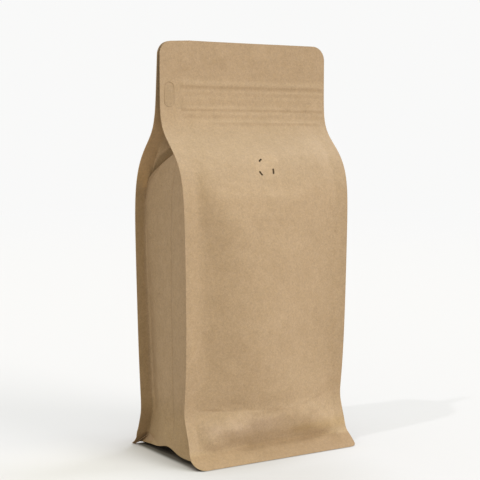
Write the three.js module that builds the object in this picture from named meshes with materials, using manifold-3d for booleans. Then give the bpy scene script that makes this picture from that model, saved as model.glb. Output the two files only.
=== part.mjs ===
// Flat-bottomed, side-gusseted paper pouch, filled and closed.
// Millimetres, +Z up, front panel facing -Y, origin on the floor under the middle of the base.
import * as THREE from "three";
import { mergeVertices } from "three/addons/utils/BufferGeometryUtils.js";
import Module from "manifold-3d";

// ---- driving dimensions --------------------------------------------------
const HEIGHT = 295.9; // floor to top edge
const WIDTH_TOP = 141.2; // across the panels at the flat top band
const WIDTH_BODY = 134.8; // across the panels low on the filled body
const WIDTH_FOOT = 137.6; // across the flared foot
const DEPTH_FOOT = 93.8; // front foot edge to back foot edge
const FIN = 1.0; // thickness of a sealed edge fin
const WALL_X = 59.5; // gusset wall from the middle plane, so fins stand about 9 mm out
const CORNER_TOP = { left: 9.5, right: 10.4 }; // rounding of the two top corners
const CORNER_FOOT = { frontLeft: 8.5, frontRight: 3.5, backLeft: 1.6, backRight: 5 };

// Side outline of the front and back fins, as distances from the middle plane.
const FRONT = {
  top: 1.47, topGrow: -0.21, body: 33.45,
  shoulderZ: 220.1, shoulderSpan: 8.23, shoulderEase: 1.7,
  waist: 17.8, waistFade: 32.9,
  flare: 0.627, flareZ: 34.8, kick: 1.0, kickZ: 9.48,
};
const BACK = {
  top: 2.62, topGrow: 3.42, body: 40.18,
  shoulderZ: 218.5, shoulderSpan: 9.43, shoulderEase: 2.68,
  waist: 9.9, waistFade: 37.5,
  flare: 0.571, flareZ: 26.7, kick: 0.185, kickZ: 7.5,
};

// Filled front and back panels.
const BULGE = 13; // how far the front panel stands out past its fins
const BULGE_BACK = 6.4; // and the back panel
const BULGE_TOP = 207; // height where the bulge begins
const BULGE_FULL = 140; // height where it is full
const SLOPE_LEFT = 24; // how fast the front rises from the left fin
const SLOPE_RIGHT = 48; // and from the right fin, where it is gentler
const SLOPE_BACK = 31; // width of the sloping strips beside the back fins
const PINCH = 1.2; // how far the flat top band draws in between its sides
const CREASE_Z = 33; // fold above the foot, at the middle of the panel
const CREASE_RISE = 5.6; // how far that fold climbs towards the fins
const SEAL_Z = 8.6; // top of the foot's seal band
// The front below the fold, past its fins: one row per place across, one number per height.
const PLACES = [-59.5, -50, -36, -14, 12, 32, 48, 59.5];
const BELLY_Z = [0, SEAL_Z, 10, 13, 18, 23, 28, CREASE_Z];
const BELLY = [
  [0, 0, 0, 0, 0, 0, 0, 0],
  [0, -0.5, 0.7, 2.8, 4.4, 4.6, 2.3, 1.2],
  [0, -1.2, -0.1, 1.7, 5.2, 7.9, 7.2, 4.5],
  [0, -5.7, -3.7, -1.4, 2.1, 5.3, 7.8, 8.4],
  [0, -5.7, -3.7, -1.5, 2, 4.7, 7.1, 8.5],
  [0, -7.1, -4.9, -2.4, 1.6, 4.5, 5.6, 5.6],
  [0, -5, -3.3, -0.9, 0.8, 0.9, 1.4, 1.6],
  [0, 0, 0, 0, 0, 0, 0, 0],
];
// The same just above the fold, past the even swell.
const LOW_Z = [CREASE_Z, 36, 42, 50, 62, 79, 104];
const LOW = [
  [0, 0, 0, 0, 0, 0, 0],
  [0.7, 0.5, 0.5, -0.1, -0.9, -1.2, 0],
  [0.4, 0.5, 0.9, 0.7, 0.4, -0.7, 0],
  [1.7, 2.3, 2.7, 2.5, 2.1, 1.4, 0],
  [3.7, 3.7, 3.8, 3, 1, 0.1, 0],
  [3.4, 2.6, 1.9, 0.9, -0.9, -1.9, 0],
  [1.1, 1.1, 0.8, 0, -1.3, -1.7, 0],
  [0, 0, 0, 0, 0, 0, 0],
];

// Gusset.
const GUSSET = 70.5; // width of the gusset between the fin roots
const ARCH_FOOT = 190; // where the folded arch leaves the fins
const ARCH_TOP = 218.5; // where it peaks on the gusset's centre crease
const ARCH_POWER = 0.5;
const POCKET = 0.55; // how much of the folded-in paper hangs inwards above the arch
const ROOF = 8; // height over which the arch's roof runs in to the deep fold
const CREASE_IN = 0.9; // the centre crease lies this far inside the wall
const FILLET = 1.8; // soft turn between gusset wall and fin, on the lower body
const SKIRT_OUT = 5.2; // how far the gusset's foot flares out
const BASE_SIDE_Z = 11; // base panel where it meets the side skirts
const BASE_SAG_Z = 2.2; // base panel at its middle, sagging under the contents
const BASE_X = 58; // half length of the base panel inside the skirt
const BASE_Y = 36.4; // half width of the base panel inside the skirt

// Press-to-close strip across the flat band.
const ZIP = { from: -53.4, to: 59.4, ridges: [248.1, 265.1], half: 1.4, edge: 0.6, proud: 0.4 };

// Oblong pull tab, die-cut in the front panel beside the strip.
const TAB = { x: -63.3, z: 257.6, width: 7.7, height: 17.4, thick: 0.4, gap: 0.3 };

// Three vent slits: centre x, z, length, turn from vertical in degrees.
const SLITS = [
  { x: -3.3, z: 211.55, length: 3.7, turn: -56 },
  { x: -5.6, z: 202.4, length: 3.5, turn: 31 },
  { x: 5.5, z: 203.7, length: 4.0, turn: -21 },
];
const SLIT_WIDTH = 1.2;
const SLIT_DEEP = 1.6;
const SHORTEST = 0.08; // edges shorter than this, left by the cuts, are closed up

// ---- small functions -----------------------------------------------------
const clamp01 = (v) => Math.min(1, Math.max(0, v));
const ease = (a, b, v) => {
  const t = clamp01((v - a) / (b - a));
  return t * t * (3 - 2 * t);
};
const mix = (a, b, t) => a + (b - a) * t;
const ramp = (v) => (v > 30 ? v : Math.log1p(Math.exp(v))); // soft ramp, 0 then v

// Distance of a fin from the middle plane at height z.
function finOut(p, z) {
  const d = p.shoulderZ - z;
  const s = 1 / (1 + Math.exp(-d / (p.shoulderSpan + p.shoulderEase * Math.tanh(d / 20))));
  const top = p.top + p.topGrow * clamp01((290 - z) / 50);
  return (
    top + (p.body - top) * s - p.waist * Math.exp(-z / p.waistFade) +
    p.flare * 3 * ramp((p.flareZ - z) / 3) + p.kick * 1.2 * ramp((p.kickZ - z) / 1.2)
  );
}
const frontOut = (z) => finOut(FRONT, z) * mix(1, DEPTH_FOOT / 2 / finOut(FRONT, 0), ease(6, 0, z));
const backOut = (z) => finOut(BACK, z) * mix(1, DEPTH_FOOT / 2 / finOut(BACK, 0), ease(6, 0, z));

// Half width of the panels, before the corners are rounded.
function halfWidth(z) {
  const grow = Math.pow(clamp01((z - 40) / 180), 1.4);
  return mix(WIDTH_BODY, WIDTH_TOP, grow) / 2 + ((WIDTH_FOOT - WIDTH_BODY) / 2) * ease(14, 5, z);
}
// The same with the corner's arc taken off at the top edge and at the foot edge.
function roundedHalfWidth(z, footRadius, topRadius) {
  let w = halfWidth(z);
  const up = z - (HEIGHT - topRadius);
  if (up > 0) w -= topRadius - Math.sqrt(Math.max(0, topRadius ** 2 - up ** 2));
  const slant = z * Math.SQRT2;
  if (slant < footRadius) w -= footRadius - Math.sqrt(Math.max(0, footRadius ** 2 - (footRadius - slant) ** 2));
  return w;
}

// Smooth curve through values f at the places at, with no overshoot between them.
function curve(v, at, f) {
  const last = at.length - 1;
  const w = Math.min(at[last], Math.max(at[0], v));
  const i = Math.min(last - 1, Math.max(0, at.findIndex((a) => a >= w) - 1));
  const d = (k) => (f[k + 1] - f[k]) / (at[k + 1] - at[k]);
  const slope = (k) => {
    if (k === 0) return d(0);
    if (k === last) return d(last - 1);
    return d(k) * d(k - 1) > 0 ? (2 * d(k) * d(k - 1)) / (d(k) + d(k - 1)) : 0;
  };
  const h = at[i + 1] - at[i];
  const t = (w - at[i]) / h;
  const [t2, t3] = [t * t, t * t * t];
  return (
    (2 * t3 - 3 * t2 + 1) * f[i] + (t3 - 2 * t2 + t) * h * slope(i) +
    (3 * t2 - 2 * t3) * f[i + 1] + (t3 - t2) * h * slope(i + 1)
  );
}
const across = (x, z, at, table) => curve(x, PLACES, table.map((row) => curve(z, at, row)));
const pinched = (x, z) => PINCH * ease(238, 252, z) * (1 - (x / WALL_X) ** 2);

// How far the front panel stands out past its fins at x, z.
function swellFront(x, z) {
  const grown = ease(BULGE_TOP, BULGE_FULL, z) * mix(0.62, 1, ease(34, 92, z));
  const wl = SLOPE_LEFT * mix(0.14, 1, clamp01((201 - z) / 51));
  const wr = SLOPE_RIGHT * mix(0.45, 1, ease(205, 150, z));
  const left = 1 - Math.exp(-Math.pow(Math.max(x + 57, 0) / wl, 1.6));
  const right = 1 - Math.exp(-Math.pow(Math.max(58.5 - x, 0) / wr, 1.5));
  let out = BULGE * grown * left * right + across(x, z, LOW_Z, LOW);
  if (z < CREASE_Z + 2) {
    const belly = z < SEAL_Z ? (across(x, SEAL_Z, BELLY_Z, BELLY) * z) / SEAL_Z : across(x, z, BELLY_Z, BELLY);
    out = mix(belly, out, ease(CREASE_Z - 0.5, CREASE_Z + 2, z));
  }
  return out - pinched(x, z);
}
// The same for the back panel.
function swellBack(x, z) {
  const grown = ease(BULGE_TOP, BULGE_FULL, z) * mix(0.62, 1, ease(34, 92, z));
  const spread = SLOPE_BACK * mix(0.25, 1, ease(200, 150, z));
  let out = BULGE_BACK * grown * ease(0, spread, x + 57) * ease(0, spread, 57 - x);
  if (z < CREASE_Z + 2) {
    const t = clamp01((z - SEAL_Z) / (CREASE_Z - SEAL_Z));
    const belly = 0.64 * (6.2 * Math.pow(t, 0.6) + 4.6 * Math.sin(Math.PI * Math.pow(t, 0.8)));
    const lens = Math.pow(clamp01(1 - (x / 59) ** 2), 0.75);
    out = z < SEAL_Z ? 0 : mix(belly * lens, out, ease(CREASE_Z - 1, CREASE_Z + 2, z));
  }
  return out - pinched(x, z);
}
// Height of the fold above the foot bows up towards the fins.
function foldLift(x, z) {
  const hat = ease(10, 33, z) * ease(62, 36, z);
  return CREASE_RISE * hat * Math.pow(Math.abs(x) / 66, 1.4);
}
function zipProud(x, z) {
  if (x < ZIP.from || x > ZIP.to) return 0;
  let out = 0;
  for (const c of ZIP.ridges)
    out = Math.max(out, ZIP.proud * clamp01((ZIP.half + ZIP.edge - Math.abs(z - c)) / ZIP.edge));
  return out;
}
const frontY = (x, z) => -(frontOut(z) + swellFront(x, z) + zipProud(x, z));
const backY = (x, z) => backOut(z) + swellBack(x, z);

// ---- gusset wall ---------------------------------------------------------
// q runs 0 to 1 from the front fin's root to the back fin's root.
const archZ = (q) => ARCH_FOOT + (ARCH_TOP - ARCH_FOOT) * Math.pow(Math.min(q, 1 - q) / 0.5, ARCH_POWER);
const archQ = (z) => 0.5 * Math.pow(clamp01((z - ARCH_FOOT) / (ARCH_TOP - ARCH_FOOT)), 1 / ARCH_POWER);
const filletAt = (z) => FILLET * ease(195, 110, z) * ease(2, 40, z);
const footEdgeZ = (y) => {
  const arch = 3.0 + 4.2 * Math.exp(-(((y - 6) / 13) ** 2));
  return mix(mix(arch, 6.4, ease(-22, -38, y)), 2.2, ease(28, 42, y));
};
// Point of the gusset (x measured outwards from the middle plane, y, z) for a row at height z.
function gussetPoint(q, z) {
  const ZB = 42;
  const footZ = footEdgeZ(mix(-39, 42, q));
  const zz = z < ZB ? footZ + (z * (ZB - footZ)) / ZB : z;
  const body = Math.min(zz, ARCH_FOOT);
  const y0 = -frontOut(zz) + FIN;
  const y1 = backOut(zz) - FIN;
  const wallY = (k) => mix(-frontOut(body) + FIN, backOut(body) - FIN, k);
  const wallX = (k) => {
    const r = filletAt(zz);
    const edge = Math.min(k, 1 - k) * (wallY(1) - wallY(0));
    const turn = edge < r ? r - Math.sqrt(Math.max(0, r * r - (r - edge) ** 2)) : 0;
    const fold = CREASE_IN * Math.exp(-Math.abs(k - 0.5) * 5) * ease(4, 16, zz);
    const skirt = SKIRT_OUT * ease(31, 3, zz) + 1.6 * ease(14, 3, zz) * Math.pow(Math.abs(2 * k - 1), 3);
    return WALL_X + turn - fold + skirt;
  };
  if (z <= ARCH_FOOT) {
    return [wallX(q), mix(y0, y1, q), zz];
  }
  const half = Math.min(q, 1 - q);
  const front = q <= 0.5;
  const rootY = front ? y0 : y1;
  const rootX = wallX(0);
  const qa = archQ(z);
  if (z <= ARCH_TOP && half >= qa - 1e-9) return [wallX(q), wallY(q), z];
  const u = z <= ARCH_TOP ? half / qa : half / 0.5;
  const span = z <= ARCH_TOP ? qa : 0.5;
  const pocket = (ry, ridge, k) => {
    const length = k * GUSSET;
    return Math.sqrt(Math.max(0, (length / 2) ** 2 - ((ridge - ry) / 2) ** 2));
  };
  let endX, endY, deep;
  if (z <= ARCH_TOP) {
    const k = front ? span : 1 - span;
    endX = wallX(k);
    endY = wallY(k);
    deep = pocket(rootY, endY, span);
  } else {
    const e = ease(ARCH_TOP, ARCH_TOP + ROOF, z);
    const full = Math.sqrt(Math.max(0, (GUSSET / 2) ** 2 - ((y1 - y0) / 2) ** 2));
    endX = wallX(0.5) - e * (full - CREASE_IN);
    endY = mix(wallY(0.5), (y0 + y1) / 2, e);
    deep = (1 - e) * pocket(rootY, endY, 0.5);
  }
  return [mix(rootX, endX, u) - deep * POCKET * Math.sin(Math.PI * u), mix(rootY, endY, u), z];
}

// ---- columns round the pouch --------------------------------------------
const PANEL_FRONT = [0, 9, 18, 27, 36, 44, 52, WALL_X];
const PANEL_BACK = [0, 14, 28, 40, 51, WALL_X];
const WALL_STEPS = 8; // per half of a gusset

// One side's columns, from the front's middle round to the back's middle. Each holds a function of
// height that gives [x outwards, y, z], and its place on the edge of the base panel.
function sideColumns(s) {
  const footFront = s < 0 ? CORNER_FOOT.frontLeft : CORNER_FOOT.frontRight;
  const footBack = s < 0 ? CORNER_FOOT.backLeft : CORNER_FOOT.backRight;
  const cols = [];
  const add = (kind, base, at) => cols.push({ kind, base, at });
  const panel = (x, back) => {
    const out = back ? backOut : frontOut;
    const y = back ? backY : frontY;
    const sign = back ? 1 : -1;
    add("panel", [(x * (BASE_X - 1.5)) / WALL_X, sign * BASE_Y], (z) => {
      const zz = z + foldLift(x, z);
      return [x, y(s * x, z) + sign * (out(zz) - out(z)), zz];
    });
  };
  // The four columns of one fin: outer face, outer edge, inner edge, inner face.
  const fin = (back) => {
    const out = back ? backOut : frontOut;
    const sign = back ? 1 : -1;
    const radius = back ? footBack : footFront;
    const rim = (z) => roundedHalfWidth(z, radius, s < 0 ? CORNER_TOP.left : CORNER_TOP.right);
    const inner = (z) => [rim(z), sign * (out(z) - FIN), z];
    const list = [
      ["fin", [BASE_X - 0.8, sign * (BASE_Y - 0.1)], (z) => [mix(WALL_X, rim(z), 0.5), sign * out(z), z]],
      ["fin", [BASE_X - 0.4, sign * (BASE_Y - 0.4)], (z) => [rim(z), sign * out(z), z]],
      ["inner", [BASE_X - 0.2, sign * (BASE_Y - 0.8)], inner],
      ["inner", [BASE_X - 0.05, sign * (BASE_Y - 1.3)], (z) => {
        const a = gussetPoint(back ? 1 : 0, z);
        const b = inner(z);
        return [mix(a[0], b[0], 0.5), mix(a[1], b[1], 0.5), mix(a[2], b[2], 0.5)];
      }],
    ];
    for (const c of back ? list.reverse() : list) add(...c);
  };
  for (const x of PANEL_FRONT) panel(x, false);
  fin(false);
  for (let j = 0; j <= 2 * WALL_STEPS; j++) {
    const q = j / (2 * WALL_STEPS);
    add("wall", [BASE_X, mix(-(BASE_Y - 1.8), BASE_Y - 1.8, q)], (z) => gussetPoint(q, z));
  }
  fin(true);
  for (const x of [...PANEL_BACK].reverse()) panel(x, true);
  return cols.map(({ kind, base, at }) => ({
    kind,
    base: [s * base[0], base[1]],
    at: (z) => {
      const [x, y, h] = at(z);
      return [s * x, y, h];
    },
  }));
}
const right = sideColumns(1);
const left = sideColumns(-1);
// Anticlockwise seen from above: front middle, right side, back middle, left side.
const columns = [...right, ...left.slice(1, -1).reverse()];

// ---- rows up the pouch ---------------------------------------------------
const rows = [0, 0.5, 1.4, 2.8, 4.6, 6.8, SEAL_Z, 10.5, 13, 16.5, 20.5, 25, 29, CREASE_Z, 36, 40, 47];
for (const z of [57, 70, 86, 104, 122, 140, 156, 170, 181, ARCH_FOOT]) rows.push(z);
for (let j = 1; j <= WALL_STEPS; j++) rows.push(archZ(j / (2 * WALL_STEPS)));
for (const z of [220.5, 223.5, ARCH_TOP + ROOF, 231, 236, 241.5]) rows.push(z);
for (const c of ZIP.ridges)
  for (const d of [-ZIP.half - ZIP.edge, -ZIP.half, ZIP.half, ZIP.half + ZIP.edge]) rows.push(c + d);
for (const t of [0.0, 0.35, 0.6, 0.8, 0.93, 1]) rows.push(HEIGHT - CORNER_TOP.left * (1 - t));

// ---- the closed skin -----------------------------------------------------
const n = columns.length;
const points = [];
const faces = [];
const addRow = (list) => {
  const start = points.length;
  points.push(...list);
  return start;
};
const stitch = (low, high) => {
  for (let i = 0; i < n; i++) {
    const j = (i + 1) % n;
    faces.push([low + i, low + j, high + j], [low + i, high + j, high + i]);
  }
};
// Like stitch, with the quads' diagonals turned to follow the arch on each gusset.
const stitchArch = (low, high) => {
  for (let i = 0; i < n; i++) {
    const j = (i + 1) % n;
    const a = points[low + i];
    const b = points[low + j];
    const rising = (a[0] > 0) === ((a[1] + b[1]) / 2 < 3);
    if (rising) faces.push([low + i, low + j, high + j], [low + i, high + j, high + i]);
    else faces.push([low + i, low + j, high + i], [low + j, high + j, high + i]);
  }
};

// Underside: base panel in shrinking rings, then out to the skirt's lower edge.
const edgeRow = columns.map(({ kind, at }) => {
  const [x, y, z] = at(0);
  const lower = Math.sign(y) * (DEPTH_FOOT / 2 - FIN);
  if (kind === "panel") return [x, lower, z];
  if (kind === "fin") return [Math.sign(x) * Math.max(Math.abs(x) - 0.5, mix(WALL_X, Math.abs(x), 0.4)), lower, z];
  if (kind === "wall") return [x - Math.sign(x) * FIN, y, z + 0.05];
  return [x - Math.sign(x) * FIN * 0.8, y - Math.sign(y) * FIN * 0.6, z + 0.3];
});
const baseZ = (x, y) =>
  BASE_SAG_Z +
  (SEAL_Z - 0.4 - BASE_SAG_Z) * Math.pow(clamp01(Math.abs(y) / BASE_Y), 3) * (1 - Math.pow(clamp01(Math.abs(x) / BASE_X), 8)) +
  (BASE_SIDE_Z - BASE_SAG_Z) * Math.pow(clamp01(Math.abs(x) / BASE_X), 8);
const baseRings = [0.2, 0.45, 0.7, 0.88].map((k) =>
  columns.map(({ base: [x, y] }) => [x * k, y * k, baseZ(x * k, y * k)]),
);
// Draws a point of the lining in where it must be, to stay a little behind the skin of its column.
function behind({ kind, at }, [x, y, z], gap) {
  if (kind === "wall") return [x, y, z];
  let h = z;
  for (let i = 0; i < 8; i++) h += z - at(h)[2]; // the row whose skin is at this height
  return [x, Math.sign(y) * Math.min(Math.abs(y), Math.abs(at(Math.max(0, h))[1]) - (kind === "inner" ? gap / 2 : gap)), z];
}
const baseEdge = columns.map((c) => behind(c, [...c.base, baseZ(...c.base)], FIN));
const lining = columns.map((c, i) => behind(c, baseEdge[i].map((v, k) => (v + edgeRow[i][k]) / 2), FIN));
const middle = points.push([0, 0, BASE_SAG_Z]) - 1;
let previous = null;
for (const ring of [...baseRings, baseEdge, lining, edgeRow]) {
  const start = addRow(ring);
  if (previous === null) for (let i = 0; i < n; i++) faces.push([middle, start + ((i + 1) % n), start + i]);
  else stitch(previous, start);
  previous = start;
}
// Outer skin, bottom to top.
for (const z of rows) {
  const start = addRow(columns.map((c) => c.at(z)));
  (z > ARCH_FOOT && z <= ARCH_TOP + 1e-6 ? stitchArch : stitch)(previous, start);
  previous = start;
}
// Top edge: the flat end of the seal.
const rim2 = points.slice(previous, previous + n).map(([x, y]) => new THREE.Vector2(x, y));
for (const f of THREE.ShapeUtils.triangulateShape(rim2, [])) faces.push(f.map((i) => previous + i));

function solidGeometry(pts, tris) {
  const g = new THREE.BufferGeometry();
  g.setAttribute("position", new THREE.Float32BufferAttribute(pts.flat(), 3));
  g.setIndex(tris.flat());
  return g;
}

// ---- joins and cuts ------------------------------------------------------
const wasm = await Module();
wasm.setup();
function toSolid(geometry) {
  const g = geometry.clone();
  for (const name of ["normal", "uv"]) if (g.getAttribute(name)) g.deleteAttribute(name);
  const merged = mergeVertices(g, 1e-4);
  return new wasm.Manifold(
    new wasm.Mesh({
      numProp: 3,
      vertProperties: new Float32Array(merged.getAttribute("position").array),
      triVerts: new Uint32Array(merged.index.array),
    }),
  );
}
// Draws the two ends of every edge shorter than SHORTEST together where the skin stays closed:
// the ends may share only the two corners opposite the edge.
function closeShortEdges(pts, tris) {
  const near = pts.map(() => new Set());
  tris.forEach((t, i) => t.forEach((v) => near[v].add(i)));
  const ring = (v) => new Set([...near[v]].flatMap((i) => tris[i]).filter((w) => w !== v));
  let again = true;
  while (again) {
    again = false;
    for (let a = 0; a < pts.length; a++) {
      for (const b of ring(a)) {
        const apart = Math.hypot(pts[a][0] - pts[b][0], pts[a][1] - pts[b][1], pts[a][2] - pts[b][2]);
        if (b < a || apart >= SHORTEST) continue;
        const ringA = ring(a);
        if ([...ring(b)].filter((w) => ringA.has(w)).length !== 2) continue;
        for (const i of [...near[b]]) {
          for (const v of tris[i]) near[v].delete(i);
          tris[i] = tris[i].map((v) => (v === b ? a : v));
          if (new Set(tris[i]).size < 3) tris[i] = null;
          else for (const v of tris[i]) near[v].add(i);
        }
        again = true;
        break;
      }
    }
  }
  return tris.filter((t) => t !== null);
}
function toGeometry(solid) {
  const m = solid.getMesh();
  const pts = [];
  for (let i = 0; i < m.vertProperties.length; i += 3) pts.push([...m.vertProperties.slice(i, i + 3)]);
  const tris = [];
  for (let i = 0; i < m.triVerts.length; i += 3) tris.push([...m.triVerts.slice(i, i + 3)]);
  const g = solidGeometry(pts, closeShortEdges(pts, tris));
  g.computeVertexNormals();
  return g;
}
// Oblong with round ends, standing along its local y, as a prism of the given depth about z = 0.
function oblong(width, length, depth, segments) {
  const r = width / 2;
  const h = length / 2 - r;
  const s = new THREE.Shape();
  s.moveTo(r, -h);
  s.lineTo(r, h);
  s.absarc(0, h, r, 0, Math.PI, false);
  s.lineTo(-r, -h);
  s.absarc(0, -h, r, Math.PI, 2 * Math.PI, false);
  const g = new THREE.ExtrudeGeometry(s, { depth, bevelEnabled: false, curveSegments: segments });
  g.translate(0, 0, -depth / 2);
  return g;
}

let body = toSolid(solidGeometry(points, faces));

// Seat of the pull tab.
const tabY = -frontOut(TAB.z);
{
  const seat = oblong(TAB.width + 2 * TAB.gap, TAB.height + 2 * TAB.gap, 2, 8);
  seat.rotateX(Math.PI / 2); // prism axis to Y, length to Z
  seat.translate(TAB.x, tabY - 1 + TAB.thick + TAB.gap - 0.1, TAB.z);
  body = body.subtract(toSolid(seat));
}
// Vent slits, each cut square to the sloping panel.
for (const slit of SLITS) {
  const y = frontY(slit.x, slit.z);
  const slopeZ = (frontY(slit.x, slit.z + 1) - frontY(slit.x, slit.z - 1)) / 2;
  const cut = oblong(SLIT_WIDTH, slit.length, 2 * SLIT_DEEP, 4);
  cut.rotateZ((slit.turn * Math.PI) / 180);
  cut.rotateX(Math.PI / 2 - Math.atan(slopeZ));
  cut.translate(slit.x, y, slit.z);
  body = body.subtract(toSolid(cut));
}

const paper = new THREE.MeshStandardMaterial({ color: 0xbfa581, roughness: 0.85, metalness: 0 });
const paperTab = new THREE.MeshStandardMaterial({ color: 0xb39975, roughness: 0.85, metalness: 0 });

const pouch = new THREE.Mesh(toGeometry(body), paper);
pouch.name = "pouch";

const tabGeometry = oblong(TAB.width, TAB.height, TAB.thick, 8);
tabGeometry.rotateX(Math.PI / 2);
const pullTab = new THREE.Mesh(tabGeometry, paperTab);
pullTab.name = "pull_tab";
pullTab.position.set(TAB.x, tabY - 0.1 + TAB.thick / 2, TAB.z);

const group = new THREE.Group();
group.add(pouch, pullTab);
export default group;
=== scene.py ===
import bpy, bmesh, math
import numpy as np
from mathutils import Matrix, Vector
from mathutils.geometry import tessellate_polygon


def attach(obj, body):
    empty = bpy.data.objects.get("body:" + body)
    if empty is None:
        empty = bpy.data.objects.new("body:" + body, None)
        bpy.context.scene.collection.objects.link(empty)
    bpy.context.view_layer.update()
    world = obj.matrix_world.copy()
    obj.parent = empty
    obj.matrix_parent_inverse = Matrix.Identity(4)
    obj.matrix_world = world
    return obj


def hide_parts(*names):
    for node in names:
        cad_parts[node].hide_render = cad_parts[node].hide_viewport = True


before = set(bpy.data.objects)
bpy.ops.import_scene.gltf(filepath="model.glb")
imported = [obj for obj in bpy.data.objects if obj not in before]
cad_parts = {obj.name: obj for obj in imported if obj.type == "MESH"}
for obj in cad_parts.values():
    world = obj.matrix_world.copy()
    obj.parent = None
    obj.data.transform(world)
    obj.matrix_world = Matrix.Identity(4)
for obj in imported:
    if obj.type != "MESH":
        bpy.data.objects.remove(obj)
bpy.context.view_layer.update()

# =====================================================================================
# The pouch's form. Millimetres here; vertices are turned to metres at the end.
# The same outline functions as the solid model, with the paper's own relief on top.
# =====================================================================================
HEIGHT, WIDTH_TOP, WIDTH_BODY, WIDTH_FOOT, DEPTH_FOOT = 295.9, 141.2, 134.8, 137.6, 93.8
FIN = 1.4          # from a fin's outer face to the gusset's root
FLIP = 0.8         # the fins turn outwards by this much from root to rim
SHEET = 0.62       # fin thickness shown
WALL_X = 59.5
FIN_SPAN = 10.0    # width given to a fin in the flat coordinate u
CORNER_TOP = 9.5
CORNER_TOP_RIGHT = 10.4
CORNER = {(-1, 0): 8.5, (1, 0): 3.5, (-1, 1): 1.6, (1, 1): 5.0}   # (side, back): foot corner radius

FRONT = dict(top=1.47, grow=-0.21, body=33.45, sz=220.1, span=8.23, se=1.7, waist=17.8, wf=32.9,
             flare=0.627, fz=34.8, kick=1.0, kz=9.48)
BACK = dict(top=2.62, grow=3.42, body=40.18, sz=218.5, span=9.43, se=2.68, waist=9.9, wf=37.5,
            flare=0.571, fz=26.7, kick=0.185, kz=7.5)

BULGE, BULGE_BACK, BULGE_TOP, BULGE_FULL = 13.0, 6.4, 207.0, 140.0
SLOPE_LEFT, SLOPE_RIGHT = 24.0, 48.0      # the filled front rises steeply at the left and falls gently at the right
SLOPE_BACK = 31.0
PINCH = 1.2
CREASE_Z, CREASE_RISE, SEAL_Z = 33.0, 5.6, 8.6
GUSSET, ARCH_FOOT, ARCH_TOP, ARCH_POWER, ROOF = 70.5, 190.0, 218.5, 0.5, 8.0
POCKET = 0.55        # how much of the folded-in paper hangs inwards above the arch
CREASE_IN, FILLET, SKIRT_OUT = 0.9, 1.8, 5.2
BASE_SIDE_Z, BASE_SAG_Z, BASE_X, BASE_Y = 11.0, 2.2, 58.0, 36.4

TAB = dict(x=-63.3, z=257.6, w=7.7, h=17.4, t=0.4, gap=0.06)
SLITS = [((-4.7, 210.9), (-3.1, 212.1)), ((-7.1, 203.5), (-5.75, 201.3)), ((4.85, 205.1), (4.3, 202.2))]
SLIT_HALF, SLIT_DEEP = 0.52, 2.2
VALVE = (-0.7, 204.9)


def ease(a, b, v):
    t = np.clip((np.asarray(v, float) - a) / (b - a), 0, 1)
    return t * t * (3 - 2 * t)


def mix(a, b, t):
    return a + (b - a) * t


def ramp(v):
    return np.logaddexp(0, v)


def bell(v, c, w):
    return np.exp(-(((v - c) / w) ** 2))


def fin_out(p, z):
    z = np.asarray(z, float)
    d = p["sz"] - z
    s = 1 / (1 + np.exp(-d / (p["span"] + p["se"] * np.tanh(d / 20))))
    top = p["top"] + p["grow"] * np.clip((290 - z) / 50, 0, 1)
    return (top + (p["body"] - top) * s - p["waist"] * np.exp(-z / p["wf"])
            + p["flare"] * 3 * ramp((p["fz"] - z) / 3) + p["kick"] * 1.2 * ramp((p["kz"] - z) / 1.2))


def front_out(z):
    return fin_out(FRONT, z) * mix(1, DEPTH_FOOT / 2 / fin_out(FRONT, 0), ease(6, 0, z))


def back_out(z):
    return fin_out(BACK, z) * mix(1, DEPTH_FOOT / 2 / fin_out(BACK, 0), ease(6, 0, z))


def half_width(z):
    grow = np.clip((z - 40) / 180, 0, 1) ** 1.4
    return mix(WIDTH_BODY, WIDTH_TOP, grow) / 2 + (WIDTH_FOOT - WIDTH_BODY) / 2 * ease(14, 5, z)


def rim(z, radius, top=CORNER_TOP):
    z = np.asarray(z, float)
    w = half_width(z)
    up = np.clip(z - (HEIGHT - top), 0, top)
    w = w - (top - np.sqrt(np.maximum(0, top ** 2 - up ** 2)))
    slant = np.minimum(z * math.sqrt(2), radius)
    return w - (radius - np.sqrt(np.maximum(0, radius ** 2 - (radius - slant) ** 2)))


def edge_of(z, side, back):
    """x of a fin's rim, without its sign."""
    return rim(z, CORNER[(side, back)], CORNER_TOP if side < 0 else CORNER_TOP_RIGHT)


def corner_drop(x, z):
    """The top edge stands a little lower over the left seal, past a soft kink."""
    return (1.02 * ease(-47.2, -51.6, x) + 0.2 * ease(32, 0, x) * ease(-52, -47, x)) * ease(262, 294, z)


def left_tip(z, k):
    """The back left fin at the floor: drawn in a little, then kicked out to a point, its edge lifted between."""
    z, k = np.asarray(z, float), np.clip(k, 0, 1)
    draw, kick = bell(z, 5.5, 3.2), ease(2.8, 0, z)
    return np.stack([k * (0.9 * draw - 0.3 * kick), k * (-0.9 * draw + 1.75 * kick),
                     1.25 * np.sin(math.pi * k) ** 0.8 * ease(7, 0, z)], -1)


# ---- soft random fields: sums of plane waves, always the same --------------------------
class Field:
    def __init__(self, seed, length, count=28, stretch=1.0):
        g = np.random.default_rng(seed)
        a = g.uniform(0, 2 * math.pi, count)
        k = 2 * math.pi / (length * g.uniform(0.7, 1.6, count))
        self.kx, self.kz = k * np.cos(a) * stretch, k * np.sin(a) / stretch
        self.ph = g.uniform(0, 2 * math.pi, count)
        self.n = math.sqrt(2 / count)

    def __call__(self, x, z):
        x, z = np.broadcast_arrays(np.asarray(x, float), np.asarray(z, float))
        out = np.zeros(x.shape)
        for kx, kz, ph in zip(self.kx, self.kz, self.ph):
            out += np.sin(kx * x + kz * z + ph)
        return out * self.n


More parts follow.
